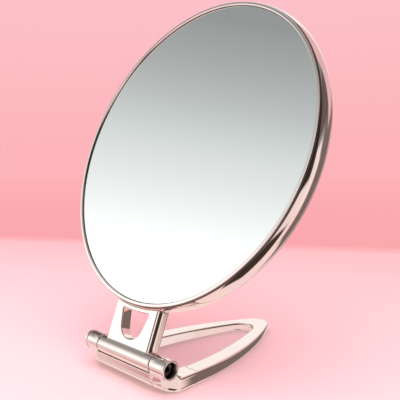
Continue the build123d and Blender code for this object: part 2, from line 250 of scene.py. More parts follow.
def turned(sections, place, segments):
    """Mesh of one or more sections of (radius, along) turned about a local Z axis."""
    angles = np.arange(segments) * tau / segments
    vertices, faces = [], []
    for section, closed in sections:
        base, count = len(vertices), len(section)
        for radius, along in section:
            vertices += [(radius * cos(a), radius * sin(a), along) for a in angles]
        for row in range(count if closed else count - 1):
            near, far = base + row * segments, base + (row + 1) % count * segments
            for k in range(segments):
                after = (k + 1) % segments
                faces.append((near + k, near + after, far + after, far + k))
    mesh = bpy.data.meshes.new("turned")
    mesh.from_pydata([place @ Vector(v) for v in vertices], [], faces)
    return cleaned(mesh)


def cleaned(mesh):
    """Join doubled points at an axis, turn every face outwards and smooth all but real creases."""
    work = bmesh.new()
    work.from_mesh(mesh)
    bmesh.ops.remove_doubles(work, verts=work.verts, dist=1e-7)
    bmesh.ops.recalc_face_normals(work, faces=work.faces)
    work.to_mesh(mesh)
    work.free()
    mesh.shade_smooth()
    mesh.set_sharp_from_angle(angle=radians(40))
    return mesh


def keep_flats(piece):
    """Let the large flat faces set the shading beside small rounded edges."""
    weights = piece.modifiers.new("flats", "WEIGHTED_NORMAL")
    weights.keep_sharp = True
    weights.weight = 80
    return piece


def net(inside):
    """Grid cells that a surface passes through, and the quads that join them into one net."""
    size = np.array(inside.shape) - 1
    corners = sum(
        inside[i : i + size[0], j : j + size[1], k : k + size[2]].astype(np.int8)
        for i, j, k in product((0, 1), repeat=3)
    )
    mixed = (corners > 0) & (corners < 8)
    number = np.full(mixed.shape, -1, np.int64)
    number[mixed] = np.arange(mixed.sum())
    quads = []
    for axis in range(3):
        others = [a for a in range(3) if a != axis]
        here = np.take(inside, range(size[axis]), axis)
        there = np.take(inside, range(1, size[axis] + 1), axis)
        for edges, flipped in ((here & ~there, axis == 1), (~here & there, axis != 1)):
            at = np.argwhere(edges)
            ring = []
            for u, v in ((-1, -1), (0, -1), (0, 0), (-1, 0)):
                cell = at.copy()
                cell[:, others[0]] += u
                cell[:, others[1]] += v
                ring.append(number[tuple(cell.T)])
            quads.append(np.stack(ring[::-1] if flipped else ring, 1))
    return np.argwhere(mixed), np.concatenate(quads)


def surface(field, low, high, step, place, rounds=3):
    """Mesh of the place where field(x, y, z) is zero, inside a box given in millimetres."""
    axes = [np.arange(a - 2 * step, b + 3 * step, step) for a, b in zip(low, high)]
    cells, quads = net(field(*np.meshgrid(*axes, indexing="ij")) < 0)
    points = (cells + 0.5) * step + [axis[0] for axis in axes]
    points = settled(field, points, step)
    for _ in range(rounds):
        points = settled(field, relaxed(points, quads), step)
    turn = np.array(place.to_3x3())
    mesh = bpy.data.meshes.new("surface")
    mesh.from_pydata((points @ turn.T + np.array(place.translation)).tolist(), [], quads.tolist())
    mesh.shade_smooth()
    slopes = gradient(field, points, step / 10) @ turn.T / MM
    slopes /= np.linalg.norm(slopes, axis=1, keepdims=True)
    mesh.normals_split_custom_set_from_vertices(slopes.tolist())
    return mesh


def gradient(field, points, reach):
    """Slope of a field at each point."""
    slopes = []
    for axis in range(3):
        shift = np.zeros(3)
        shift[axis] = reach
        slopes.append(field(*(points + shift).T) - field(*(points - shift).T))
    return np.stack(slopes, 1) / (2 * reach)


def settled(field, points, step, passes=4):
    """Slide points along the field's slope to where it is zero."""
    for _ in range(passes):
        slopes = gradient(field, points, step / 20)
        steepness = np.maximum((slopes**2).sum(1), 0.2)
        slide = (field(*points.T) / steepness)[:, None] * slopes
        points = points - np.clip(slide, -step, step)
    return points


def relaxed(points, quads):
    """Move each point halfway to the middle of its neighbours."""
    total, count = np.zeros_like(points), np.zeros(len(points))
    for a, b in ((0, 1), (1, 2), (2, 3), (3, 0)):
        np.add.at(total, quads[:, a], points[quads[:, b]])
        np.add.at(count, quads[:, a], 1)
    return (points + total / count[:, None]) / 2


def cut(a, b, radius):
    """Overlap of two fields, with the edge between them rounded."""
    corner = np.hypot(np.maximum(a + radius, 0), np.maximum(b + radius, 0))
    return np.minimum(np.maximum(a, b), -radius) + corner


def fuse(a, b, radius):
    """Union of two fields, with the inside corner between them filled."""
    return -cut(-a, -b, radius)


# ---------------------------------------------------------------- the head's turned pieces
def hoop_bulge():
    """Radius of the arc across the hoop's bulging side."""
    rise = RIM_RADIUS - HOOP_EDGE_RADIUS
    return (RIM_HALF_DEPTH**2 + rise**2) / (2 * rise)


def hoop_section():
    """The rim's side: a bulging outside and a straight inside, with softened corners."""
    bulge = hoop_bulge()
    half_angle = np.degrees(asin(RIM_HALF_DEPTH / bulge))
    corner = 1.2  # degrees of the arc given up to each softened corner
    side = arc((RIM_RADIUS - bulge, 0), bulge, -half_angle + corner, half_angle - corner, 28)
    back = [(HOOP_INSIDE, -RIM_HALF_DEPTH + HOOP_SOFTENED),
            (HOOP_INSIDE + HOOP_SOFTENED, -RIM_HALF_DEPTH),
            (HOOP_EDGE_RADIUS - HOOP_SOFTENED, -RIM_HALF_DEPTH)]
    front = [(u, -v) for u, v in reversed(back)]
    return back + side + front


def bezel_section(front=1):
    """Rounded flange over the glass and a skirt down into the hoop."""
    skirt = HOOP_INSIDE - FIT_GAP
    inner = skirt - SKIRT_WALL
    corners = [
        (SIGHT_RADIUS, FACE, BEZEL_ROUND), (BEZEL_RADIUS, FACE, BEZEL_ROUND),
        (BEZEL_RADIUS, FLANGE_BACK, 0.05), (skirt, FLANGE_BACK, 0.03), (skirt, BEZEL_BACK, 0.1),
        (inner, BEZEL_BACK, 0.1), (inner, FLANGE_BACK, 0.03), (SIGHT_RADIUS, FLANGE_BACK, 0.05),
    ]
    return [(u, front * v) for u, v in rounded(corners)]


def gasket_section(front=1):
    """The seal between a bezel and its glass, which shows as a thin dark line."""
    inner = SIGHT_RADIUS - SEAL_SHOWS
    corners = [(inner, FLANGE_BACK, 0.1), (GLASS_RADIUS, FLANGE_BACK, 0.05),
               (GLASS_RADIUS, GLASS_FACE, 0.05), (inner, GLASS_FACE, 0.1)]
    return [(u, front * v) for u, v in rounded(corners)]


def flat_glass_section():
    """Half section of the plain glass, with its ground edge."""
    ground = FLAT_GLASS_GROUND
    rings = [(radius, GLASS_FACE) for radius in np.linspace(0, GLASS_RADIUS - 1, 12)]
    edge = [(GLASS_RADIUS - ground, GLASS_FACE), (GLASS_RADIUS, GLASS_FACE - ground),
            (GLASS_RADIUS, GLASS_BACK + ground), (GLASS_RADIUS - ground, GLASS_BACK)]
    return rings + edge + [(radius, GLASS_BACK) for radius in (GLASS_RADIUS - 1, GLASS_RADIUS / 2, 0)]


def dished_glass_section():
    """Half section of the magnifying glass, hollow towards the back of the head."""
    thickness, ground = DISHED_GLASS_THICKNESS, DISHED_GLASS_GROUND
    centre = -(GLASS_FACE - GLASS_RADIUS**2 / (2 * REAR_CURVE))

    def dish(radius):
        return centre - radius**2 / (2 * REAR_CURVE)

    radii = np.linspace(0, GLASS_RADIUS - ground, 40)
    face = [(radius, dish(radius)) for radius in radii]
    back = [(radius, dish(radius) + thickness) for radius in reversed(radii)]
    rim = dish(GLASS_RADIUS)
    edge = [(GLASS_RADIUS, rim + ground), (GLASS_RADIUS, rim + thickness - ground)]
    return face + edge + back


# ---------------------------------------------------------------- the castings
def teardrop(x, y, shoulder, half_width, side_radius, tip_radius, front, corner):
    """Field of a plan outline: two side arcs, a rounded tip and a straight front."""
    offset, radius = side_radius - half_width, side_radius - tip_radius
    cusp = sqrt(radius**2 - offset**2)
    across, along = np.abs(x), np.abs(y - shoulder)
    beyond = (along - cusp) * offset > across * cusp
    sides = np.where(beyond, np.hypot(across, along - cusp), np.hypot(across + offset, along) - radius)
    return cut(sides - tip_radius, front - y, corner)


def underside(y, z):
    """Field of everything above the loop's flat underside and its curved toe."""
    run = TOE_START - LOOP_FRONT
    radius = (run**2 + TOE_LIFT**2) / (2 * TOE_LIFT)
    return np.where(y < TOE_START, np.hypot(y - TOE_START, z - radius) - radius, -z)


def loop_outline(x, y):
    """Field of the loop's outer outline in plan."""
    return teardrop(x, y, LOOP_SHOULDER, LOOP_HALF_WIDTH, LOOP_SIDE_RADIUS, LOOP_TIP_RADIUS,
                    LOOP_FRONT, LOOP_CORNER)


def foot_edge(z):
    """Rounding of the loop's outer edges, larger at the table than on top."""
    return np.where(z > LOOP_THICK / 2, LOOP_EDGE, LOOP_FOOT_EDGE)


def loop_plate(x, y, z):
    """Field of the flat loop, which thins towards its tip, and its opening."""
    outline = loop_outline(x, y)
    hole = teardrop(x, y, HOLE_FRONT, HOLE_HALF_WIDTH, HOLE_SIDE_RADIUS, HOLE_TIP_RADIUS,
                    HOLE_FRONT, HOLE_CORNER)
    slope = (LOOP_THICK - LOOP_THIN) / (LOOP_THINS_TO - LOOP_THINS_FROM)
    top = LOOP_THICK - np.clip(y - LOOP_THINS_FROM, 0, None) * slope
    edge = np.where(outline < -hole, LOOP_EDGE, foot_edge(z))
    return cut(np.maximum(outline, -hole), np.maximum(z - top, underside(y, z)), edge)


def knuckle_stand(x, y, z):
    """Field of the two blocks that carry the outer knuckles, curved down to the loop's arms."""
    pedestal = np.maximum(np.maximum(y - KNUCKLE_RADIUS, LOOP_FRONT - y), z - HINGE_HEIGHT)
    arm = np.maximum(np.maximum(z - LOOP_THICK, y - LOOP_THINS_FROM), LOOP_FRONT - y)
    profile = cut(fuse(pedestal, arm, SADDLE_ROUND), underside(y, z), TOE_EDGE)
    profile = fuse(profile, np.hypot(y, z - HINGE_HEIGHT) - KNUCKLE_RADIUS, EYE_FILLET)
    return np.maximum(cut(loop_outline(x, y), profile, foot_edge(z)), SEAM_END - np.abs(x))


def crossbar(x, y, z, cradle):
    """Field of the bar under the neck's knuckle, hollowed to clear it."""
    overlap = 1.0  # into each stand
    bar = np.maximum(np.maximum(LOOP_FRONT - y, y - KNUCKLE_RADIUS), z - CROSSBAR_TOP)
    bar = cut(cut(bar, underside(y, z), TOE_EDGE), cradle, CRADLE_EDGE)
    return np.maximum(bar, np.abs(x) - SEAM_END - overlap)


def handle_field(x, y, z):
    """Loop, crossbar and outer knuckles in one casting, in the handle's space."""
    side = np.abs(x)
    from_axis = np.hypot(y, z - HINGE_HEIGHT)
    cradle = KNUCKLE_RADIUS + CRADLE_GAP - from_axis
    eye_ends = np.maximum(SEAM_END - side, side - RING_START + FIT_GAP)
    eye = cut(from_axis - KNUCKLE_RADIUS, eye_ends, EYE_EDGE)
    spigot_ends = np.maximum(SEAM_END - side, side - BARREL_END + RING_LIP + FIT_GAP)
    spigot = np.maximum(from_axis - KNUCKLE_RADIUS + SPIGOT_STEP, spigot_ends)

    whole = fuse(loop_plate(x, y, z), crossbar(x, y, z, cradle), CASTING_FILLET)
    whole = fuse(whole, knuckle_stand(x, y, z), STAND_FILLET)
    whole = np.minimum(fuse(whole, eye, CASTING_FILLET), spigot)
    whole = np.maximum(whole, np.where(side < SEAM_END, cradle, -NOTHING))
    pocket = np.where(side > POCKET_FLOOR, POCKET_RADIUS - from_axis, -NOTHING)
    return np.maximum(whole, np.maximum(BOLT_RADIUS + FIT_GAP - from_axis, pocket))


def window_field(x, z, from_middle):
    """Field of the neck's window: flared, bowed sides, a round floor and a top along the rim."""
    height = HEAD_REACH - RIM_RADIUS + WINDOW_RISE - WINDOW_FLOOR
    flare = np.arctan2(WINDOW_TOP - WINDOW_BOTTOM, height)
    share = np.clip((z - WINDOW_FLOOR) / height, 0, 1)
    bow = (share**0.75 - share) * (WINDOW_TOP - WINDOW_BOTTOM)
    edge = (np.abs(x) - WINDOW_BOTTOM - bow) * cos(flare) - (z - WINDOW_FLOOR) * sin(flare)
    window = cut(edge, WINDOW_FLOOR - z, WINDOW_ROUND)
    return cut(window, RIM_RADIUS + WINDOW_STRIP - from_middle, WINDOW_TOP_ROUND)


def neck_field(x, y, z):
    """Flat bracket, its window and its hinge knuckle in one casting, in the head's space."""
    side = np.abs(x) - NECK_HALF_WIDTH
    from_axis = np.hypot(y, z)
    profile = np.where(z > 0, np.abs(y) - NECK_HALF_THICKNESS, NOTHING)
    profile = fuse(profile, from_axis - KNUCKLE_RADIUS, NECK_FILLET)
    plate = cut(side, profile, np.where(y < 0, NECK_FRONT_ROUND, NECK_BACK_ROUND))

    from_middle = np.hypot(x, z - HEAD_REACH)
    bulge = hoop_bulge()
    hoop = np.hypot(from_middle - RIM_RADIUS + bulge, y) - bulge
    plate = cut(plate, NECK_TOP_GAP - hoop, NECK_TOP_EDGE)
    plate = cut(plate, -window_field(x, z, from_middle), WINDOW_EDGE)

    barrel = cut(from_axis - KNUCKLE_RADIUS, np.abs(x) - NECK_KNUCKLE, KNUCKLE_EDGE)
    bore = np.where(np.abs(x) > BUSH_SEAT_START, BUSH_RADIUS, BOLT_PASS)
    return np.maximum(np.minimum(plate, barrel), bore - from_axis)


# ---------------------------------------------------------------- the hinge's small parts
def hexagon(x, y, half_width):
    """Field of a hexagon's plan, corners to the local X, from its half width across the flats."""
    flats = [np.abs(y * cos(turn) + x * sin(turn)) for turn in (0, pi / 3, 2 * pi / 3)]
    return np.maximum(np.maximum(flats[0], flats[1]), flats[2]) - half_width


def triangle_wave(phase):
    """Wave between 0 and 1, one turn of it for each unit of phase."""
    return np.abs((phase % 1) - 0.5) * 2


def bolt_field(x, y, z):
    """Socket head bolt with a knurled head and a threaded end, along the barrel."""
    from_axis, turn = np.hypot(x, y), np.arctan2(y, x) / tau
    tip, head_end = (corner.z for corner in span("pivot_bolt", BARREL_AXIS))
    from_head_middle = np.abs(z - (POCKET_FLOOR + head_end) / 2)
    in_knurl = np.clip((KNURL_HALF_LENGTH - from_head_middle) / KNURL_FADE, 0, 1)
    knurl = KNURL_DEPTH * in_knurl * triangle_wave(turn * KNURLS)
    around = np.maximum(POCKET_FLOOR - z, z - head_end)
    head = cut(from_axis - BOLT_HEAD_RADIUS + knurl, around, BOLT_HEAD_EDGE)
    socket = np.maximum(hexagon(x, y, SOCKET_HALF_WIDTH), head_end - SOCKET_DEPTH - z)
    in_thread = np.clip((tip + THREAD_LENGTH - z) / THREAD_FADE, 0, 1)
    thread = THREAD_DEPTH * in_thread * triangle_wave(z / THREAD_PITCH - turn)
    shank_ends = np.maximum(tip - z, z - POCKET_FLOOR - SHANK_OVERLAP)
    shank = cut(from_axis - BOLT_RADIUS + thread, shank_ends, SHANK_EDGE)
    return np.maximum(np.minimum(head, shank), -socket)


def nut_field(x, y, z):
    """Hexagon nut with turned-down corners and a threaded bore."""
    low, high = (corner.z for corner in span("pivot_nut", BARREL_AXIS))
    thickness = high - low
    from_middle = np.abs(z - (low + high) / 2)
    from_axis = np.hypot(x, y)
    body = cut(hexagon(x, y, NUT_HALF_WIDTH), from_middle - thickness / 2, NUT_EDGE)
    chamfer = NUT_HALF_WIDTH + thickness + 0.1
    corners = (from_axis + 2 * from_middle - chamfer) / sqrt(5)
    return np.maximum(np.maximum(body, corners), BOLT_RADIUS + THREAD_GAP - from_axis)


def spring_sections():
    """The pair of cone washers, back to back."""
    sections = []
    first, second = -POCKET_FLOOR, -POCKET_FLOOR - SPRING_HEIGHT
    for start, rim, eye in ((first, SPRING_RISE, 0), (second, 0, SPRING_RISE)):
        corners = [(WASHER_BORE, start - eye, 0.08), (WASHER_RADIUS, start - rim, 0.12),
                   (WASHER_RADIUS, start - rim - SPRING_METAL, 0.12),
                   (WASHER_BORE, start - eye - SPRING_METAL, 0.08)]
        sections.append((rounded(corners, 3), True))
    return sections


def washer_section():
    """The flat washer, with its stamped edges."""
    low, high = (corner.z for corner in span("flat_washer", BARREL_AXIS))
    return rounded([(WASHER_BORE, low, 0.05), (WASHER_RADIUS, low, 0.14),
                    (WASHER_RADIUS, high, 0.08), (WASHER_BORE, high, 0.05)], 3)


def bush_section(way):
    """Flanged bush at one end of the neck's knuckle."""
    bore, outer, flange = BOLT_RADIUS + FIT_GAP, BUSH_RADIUS, BUSH_FLANGE_RADIUS
    inner_end, flange_end = NECK_KNUCKLE - BUSH_LENGTH, NECK_KNUCKLE + BUSH_FLANGE
    corners = [(bore, inner_end, 0.2), (outer, inner_end, 0.25), (outer, NECK_KNUCKLE, 0.05),
               (flange, NECK_KNUCKLE, 0.08), (flange, flange_end, 0.15), (bore, flange_end, 0.2)]
    return [(u, way * v) for u, v in rounded(corners)]


def pad_field(node_name):
    """Field of a foam pad: its CAD node's disc, softened, with the screws' room left out."""
    low, high = (corner.z for corner in span(node_name, HEAD_AXIS))
    inside = REAR_FOAM_INSIDE if node_name == "rear_foam" else -NOTHING

    def field(x, y, z):
        from_middle = np.hypot(x, y)
        ring = np.maximum(from_middle - GLASS_RADIUS + FOAM_EDGE_GAP, inside - from_middle)
        room = np.maximum(np.abs(x) - SCREW_ROOM[0], np.abs(y + GLASS_RADIUS) - SCREW_ROOM[1])
        return cut(np.maximum(ring, -room), np.maximum(low - z, z - high), FOAM_ROUND)

    return field


# ---------------------------------------------------------------- materials
PIN_MARK = (0.12, 0.09, 0.08)
# painted shade laid along the groove between the bezel and the hoop
SEAM_SHADE = (0.06, 0.045, 0.04)
BRUSHED = (0.15, 1, 1)  # grain drawn out along the hinge


def node(tree, kind, inputs=None, **settings):
    """Add a shader node; an input is either a value or another node's output."""
    made = tree.nodes.new(kind)
    for name, value in settings.items():
        setattr(made, name, value)
    for name, value in (inputs or {}).items():
        if isinstance(value, bpy.types.NodeSocket):
            tree.links.new(value, made.inputs[name])
        else:
            made.inputs[name].default_value = value
    return made


def maths(tree, operation, *values):
    """Result of a math node."""
    return node(tree, "ShaderNodeMath", dict(enumerate(values)), operation=operation).outputs[0]


def vectors(tree, operation, *values):
    """Vector math node."""
    return node(tree, "ShaderNodeVectorMath", dict(enumerate(values)), operation=operation)


def remap(tree, value, low, high, to_low, to_high):
    """Value moved from one range to another and held inside it."""
    limits = {"Value": value, "From Min": low, "From Max": high, "To Min": to_low, "To Max": to_high}
    return node(tree, "ShaderNodeMapRange", limits).outputs["Result"]


def blended(tree, factor, first, second):
    """Mix of two colours, each a value or another node's output."""
    mix = node(tree, "ShaderNodeMix", {"Factor": factor}, data_type="RGBA")
    for socket, colour in ((mix.inputs["A"], first), (mix.inputs["B"], second)):
        if isinstance(colour, bpy.types.NodeSocket):
            tree.links.new(colour, socket)
        else:
            socket.default_value = (*colour, 1)
    return mix.outputs["Result"]


def noise(tree, scale, detail=2.0, stretch=(1, 1, 1), rough=0.5):
    """Noise in the row frame, scale in cycles per metre."""
    place = node(tree, "ShaderNodeTexCoord").outputs["Object"]
    place = node(tree, "ShaderNodeMapping", {"Vector": place, "Scale": stretch}).outputs["Vector"]
    inputs = {"Vector": place, "Scale": scale, "Detail": detail, "Roughness": rough}
    return node(tree, "ShaderNodeTexNoise", inputs).outputs["Fac"]


def principled(name, **constants):
    """New material, its node tree and its shader with constant inputs set."""
    made = bpy.data.materials.new(name)
    made.use_nodes = True
    shader = made.node_tree.nodes["Principled BSDF"]
    for socket, value in constants.items():
        shader.inputs[socket.replace("_", " ")].default_value = value
    return made, made.node_tree, shader


def bumped(tree, shader, height, strength, distance):
    """Give a shader a bump from a height."""
    inputs = {"Height": height, "Strength": strength, "Distance": distance}
    bump = node(tree, "ShaderNodeBump", inputs)
    tree.links.new(bump.outputs["Normal"], shader.inputs["Normal"])


def head_distance(tree):
    """Distance from the head's axis, in metres."""
    place = node(tree, "ShaderNodeTexCoord").outputs["Object"]
    spoke = vectors(tree, "SUBTRACT", place, tuple(HEAD_AXIS.translation)).outputs["Vector"]
    axis = tuple(HEAD_AXIS.to_3x3().col[2].normalized())
    across = vectors(tree, "CROSS_PRODUCT", spoke, axis).outputs["Vector"]
    return vectors(tree, "LENGTH", across).outputs["Value"]


def plating(name, colour, gloss=0.05, wave=0.1, seam=None):
    """Polished champagne plating: faint waviness, polishing haze, a few pin marks, painted shade along a
    seam.
    """
    made, tree, shader = principled(name, Metallic=1.0)
    haze = noise(tree, 90, 4, rough=0.6)
    fine = noise(tree, 2600, 2, stretch=(1, 0.35, 0.35))
    rough = remap(tree, maths(tree, "MULTIPLY", haze, fine), 0.1, 0.5, gloss * 0.6, gloss * 2.2)
    tree.links.new(rough, shader.inputs["Roughness"])
    pins = remap(tree, noise(tree, 500, 1), 0.17, 0.2, 1.0, 0.0)
    darker = tuple(c * 0.86 for c in colour)
    tint = blended(tree, remap(tree, haze, 0.35, 0.7, 0.0, 0.35), colour, darker)
    tint = blended(tree, pins, tint, PIN_MARK)
    # painted shade: the plating darkens in a band round the head's axis, at the seam
    if seam:
        centre, reach = seam
        away = maths(tree, "SUBTRACT", head_distance(tree), centre * MM)
        away = maths(tree, "ABSOLUTE", away)
        line = remap(tree, away, reach * 0.5 * MM, reach * MM, 0.9, 0.0)
        tint = blended(tree, line, tint, SEAM_SHADE)
    tree.links.new(tint, shader.inputs["Base Color"])
    height = maths(tree, "SUBTRACT", noise(tree, 160, 2), pins)
    bumped(tree, shader, height, wave, 0.00012)
    return made


def silvered(name, colour):
    """Silvered glass: a faint green edge, a trace of dust and wiping streaks."""
    made, tree, shader = principled(name, Metallic=1.0)
    streaks = noise(tree, 55, 5, stretch=(1, 0.2, 0.3), rough=0.65)
    dust = remap(tree, noise(tree, 2200, 1), 0.78, 0.82, 0.0, 0.6)
    rough = maths(tree, "MAXIMUM", remap(tree, streaks, 0.4, 0.8, 0.0, 0.03), dust)
    tree.links.new(rough, shader.inputs["Roughness"])
    edge_start, edge_end = (SIGHT_RADIUS - 0.8) * MM, (SIGHT_RADIUS + 0.2) * MM
    edge = remap(tree, head_distance(tree), edge_start, edge_end, 0.0, 0.7)
    green = (colour[0] * 0.86, colour[1] * 1.02, colour[2] * 0.9)
    tree.links.new(blended(tree, edge, colour, green), shader.inputs["Base Color"])
    return made


def plain(name, colour, other, scale, rough, metallic=0.0, bump=0.2, stretch=(1, 1, 1)):
    """Two-tone surface with matching bump, for seals, mouldings, foam and steel."""
    made, tree, shader = principled(name, Metallic=metallic)
    grain = noise(tree, scale, 4, stretch)
    tone = blended(tree, remap(tree, grain, 0.3, 0.7, 0, 1), colour, other)
    tree.links.new(tone, shader.inputs["Base Color"])
    roughness = remap(tree, grain, 0.3, 0.7, rough * 0.8, rough * 1.25)
    tree.links.new(roughness, shader.inputs["Roughness"])
    bumped(tree, shader, grain, bump, 0.0001)
    return made


CHAMPAGNE = (0.96, 0.83, 0.77)
CASTING = plating("champagne_casting", CHAMPAGNE, 0.06, 0.12)
# the rim's plating carries painted shade at the bezel's seam
RIM = plating("champagne_rim", (0.96, 0.84, 0.79), 0.05, 0.05, seam=(HOOP_EDGE_RADIUS, 0.3))
RING = plating("champagne_ring", CHAMPAGNE, 0.05, 0.05)
MIRROR = silvered("silvered_glass", (0.93, 0.95, 0.94))
SEAL = plain("black_seal", (0.02, 0.02, 0.02), (0.05, 0.045, 0.04), 3000, 0.6, bump=0.3)
NYLON = plain("black_nylon", (0.02, 0.02, 0.02), (0.045, 0.04, 0.04), 5000, 0.45, bump=0.15)
ZINC = plain("zinc_steel", (0.42, 0.41, 0.38), (0.6, 0.58, 0.54), 1800, 0.3, 1.0, 0.2, BRUSHED)
BLACKED = plain("blackened_steel", (0.05, 0.045, 0.04), (0.13, 0.12, 0.11), 1800, 0.32, 1.0, 0.2, BRUSHED)
SPRING = plain("spring_steel", (0.12, 0.12, 0.13), (0.25, 0.24, 0.24), 2500, 0.35, 1.0, 0.15)
FOAM = plain("white_foam", (0.72, 0.71, 0.67), (0.86, 0.85, 0.82), 4000, 0.9, bump=0.9)
CORE = plain("core_moulding", (0.035, 0.035, 0.04), (0.06, 0.06, 0.065), 2400, 0.5, bump=0.3)


# ---------------------------------------------------------------- building the pieces
RIM_SEGMENTS = 512
GLASS_SEGMENTS = 256
RING_SEGMENTS = 192
SMALL_SEGMENTS = 96
NECK_GRID = 0.25  # grid steps of the pieces made from fields, in millimetres
LOOP_GRID = 0.3
BOLT_GRID = 0.12
NUT_GRID = 0.1
PAD_GRID = 0.6


def build_head():
    """The rim, the seals, the two glasses and the neck."""
    turned_pieces = (
        ("rim_side", hoop_section(), True, "rim_hoop", "plated_rim", RIM),
        ("bezel_front", bezel_section(), True, "front_bezel", "plated_rim", RIM),
        ("bezel_rear", bezel_section(-1), True, "rear_bezel", "plated_rim", RIM),
        ("seal_front", gasket_section(), True, "front_gasket", "seal", SEAL),
        ("seal_rear", gasket_section(-1), True, "rear_gasket", "seal", SEAL),
        ("plain_mirror", flat_glass_section(), False, "front_glass", "mirror_glass", MIRROR),
        ("magnifying_mirror", dished_glass_section(), False, "rear_glass", "magnifying_mirror", MIRROR),
    )
    for name, section, closed, cad_node, slot, finish in turned_pieces:
        mesh = turned([(section, closed)], HEAD_AXIS, RIM_SEGMENTS if closed else GLASS_SEGMENTS)
        keep_flats(shown(name, mesh, "head", [cad_node], finish))
    barrel = KNUCKLE_RADIUS + 0.2
    low = (-NECK_KNUCKLE, -barrel, -barrel)
    high = (NECK_KNUCKLE, barrel, HEAD_REACH - RIM_RADIUS + 4)
    mesh = surface(neck_field, low, high, NECK_GRID, HEAD_SPACE)
    shown("neck_casting", mesh, "head", ["neck"], CASTING)


def ring_section(way):
    """Ring on one end of the barrel, with a lip that turns in over the spigot."""
    inside, lip = KNUCKLE_RADIUS - SPIGOT_STEP + FIT_GAP, BARREL_END - RING_LIP
    corners = [(RING_LIP_RADIUS, BARREL_END, 0.12), (RING_RADIUS, BARREL_END, 0.4),
               (RING_RADIUS, RING_START, 0.3), (inside, RING_START, 0.05),
               (inside, lip, 0.03), (RING_LIP_RADIUS, lip, 0.05)]
    return [(u, way * v) for u, v in rounded(corners)]


def build_handle():
    """The loop casting and the two end rings."""
    low = (-BARREL_END, LOOP_FRONT - 1.5, 0)
    high = (BARREL_END, LOOP_TIP, HINGE_HEIGHT + KNUCKLE_RADIUS + 0.2)
    mesh = surface(handle_field, low, high, LOOP_GRID, HANDLE_SPACE)
    shown("loop_casting", mesh, "handle", ["handle_loop"], CASTING)
    for name, way in (("right", 1), ("left", -1)):
        mesh = turned([(ring_section(way), True)], BARREL_AXIS, RING_SEGMENTS)
        keep_flats(shown(f"{name}_ring", mesh, "handle", [f"{name}_end_ring"], RING))


def build_hinge():
    """Bolt, nut, springs, washer and bushes."""
    bolt_low, bolt_high = span("pivot_bolt", BARREL_AXIS)
    bolt = surface(bolt_field, bolt_low, bolt_high, BOLT_GRID, BARREL_AXIS, rounds=1)
    shown("hinge_bolt", bolt, "handle", ["pivot_bolt"], BLACKED)
    nut_low, nut_high = span("pivot_nut", BARREL_AXIS)
    nut = surface(nut_field, nut_low, nut_high, NUT_GRID, BARREL_AXIS, rounds=1)
    shown("hinge_nut", nut, "handle", ["pivot_nut"], ZINC)
    springs = turned(spring_sections(), BARREL_AXIS, SMALL_SEGMENTS)
    shown("cone_washers", springs, "handle", ["disc_springs"], SPRING)
    washer = turned([(washer_section(), True)], BARREL_AXIS, SMALL_SEGMENTS)
    shown("washer", washer, "handle", ["flat_washer"], ZINC)
    for name, way in (("right", 1), ("left", -1)):
        bush = turned([(bush_section(way), True)], BARREL_AXIS, SMALL_SEGMENTS)
        keep_flats(shown(f"{name}_sleeve", bush, "head", [f"{name}_bush"], NYLON))


def build_foams():
    """The two soft pads between the glasses and the core."""
    for name, cad_node in (("front_pad", "front_foam"), ("rear_pad", "rear_foam")):
        low, high = span(cad_node, HEAD_AXIS)
        pad = surface(pad_field(cad_node), low, high, PAD_GRID, HEAD_AXIS)
        shown(name, pad, "head", [cad_node], FOAM)


def finish_hidden():
    """Give the CAD nodes that stay in view their own materials."""
    for name, finish in (("core_plate", CORE), ("saddle_plate", ZINC), ("neck_screws", ZINC)):
        mesh = frame["nodes"][name].data
        mesh.materials.clear()
        mesh.materials.append(finish)
        mesh.shade_smooth()
        mesh.set_sharp_from_angle(angle=radians(30))


# ---------------------------------------------------------------- camera
VIEW_AZIMUTH = radians(46.17)
VIEW_PITCH = radians(6.10)
VIEW_ROLL = radians(-1.58)
VIEW_BACK, VIEW_RIGHT, VIEW_UP = 0.2448, 0.03075, 0.07764  # metres from the mirror's foot
LENS = 50.4
AHEAD = Vector((-sin(VIEW_AZIMUTH), cos(VIEW_AZIMUTH), 0))
FORWARD = AHEAD * cos(VIEW_PITCH) + Vector((0, 0, -sin(VIEW_PITCH)))


def build_camera():
    """Camera in front of the mirror, on its right."""
    across = Vector((cos(VIEW_AZIMUTH), sin(VIEW_AZIMUTH), 0))
    above = across.cross(FORWARD)
    right = across * cos(VIEW_ROLL) + above * sin(VIEW_ROLL)
    up = above * cos(VIEW_ROLL) - across * sin(VIEW_ROLL)
    foot = Vector((0, HINGE.y, 0))
    camera = bpy.data.objects.new("camera", bpy.data.cameras.new("camera"))
    camera.data.lens, camera.data.clip_start = LENS, 0.01
    turn = Matrix((right, up, -FORWARD)).transposed().to_4x4()
    place = foot + VIEW_RIGHT * right + VIEW_UP * up - VIEW_BACK * FORWARD
    camera.matrix_world = Matrix.Translation(place) @ turn
    bpy.context.scene.collection.objects.link(camera)
    bpy.context.scene.camera = camera


# ---------------------------------------------------------------- table and backdrop
TABLE_HALF = 40  # metres
TABLE_SKEW = radians(18)  # the table's far edge, seen from the camera
TABLE_DEPTH = 0.267  # from the origin to where the table gives way to the backdrop
TABLE_NEAR = (0.97, 0.97, 0.98)
# the table's own rose tone, darkened as painted fall-off of light towards the back
TABLE_FAR_ROSE_AND_SHADE = (0.86, 0.70, 0.70)
TINT_SKEW = radians(40)  # the way that the table deepens to rose, its own tone with painted fall-off of light
BACKDROP_LOW = (0.965, 0.392, 0.418)
BACKDROP_MID = (0.985, 0.462, 0.495)
BACKDROP_HIGH = (0.98, 0.53, 0.58)


def table_depth(tree, place, skew):
    """Distance along the table away from the camera, turned by a skew."""
    way = Matrix.Rotation(-skew, 3, "Z") @ AHEAD
    return vectors(tree, "DOT_PRODUCT", place, tuple(way)).outputs["Value"]


